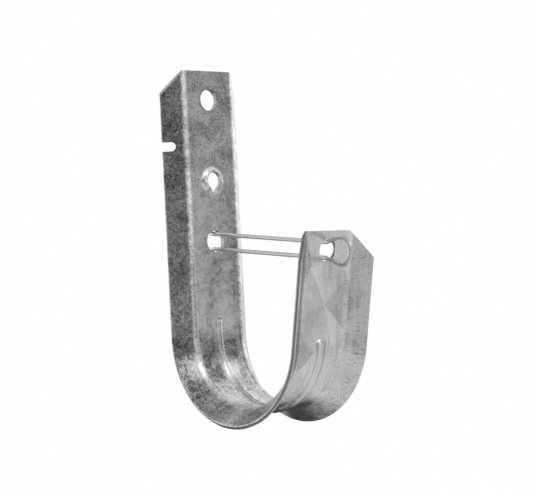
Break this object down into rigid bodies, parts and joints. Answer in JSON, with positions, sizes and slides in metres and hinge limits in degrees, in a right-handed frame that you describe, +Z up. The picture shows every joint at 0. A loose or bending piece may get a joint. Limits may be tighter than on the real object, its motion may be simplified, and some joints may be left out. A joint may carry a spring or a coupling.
{
  "type": "j hook cable support",
  "caption": "Flanged sheet steel J hook that carries a bundle of cables, with a fastener hole, a pressed screw form, a stiffening bead and a wire retainer across its mouth.",
  "frame": {"origin": "middle of the mounting hole, on the face of the back plate that the cables touch", "axes": "+Z up along the back plate, +Y out of its back towards the wall, X across it"},
  "size_m": [0.0362, 0.0771, 0.1291],
  "materials": {
    "galvanized_steel": "hot-dip zinc with a fine spangle",
    "spring_wire": "bright drawn wire"
  },
  "bodies": {
    "root": {"hook_body": "galvanized_steel", "wire_retainer": "spring_wire"}
  },
  "joints": []
}
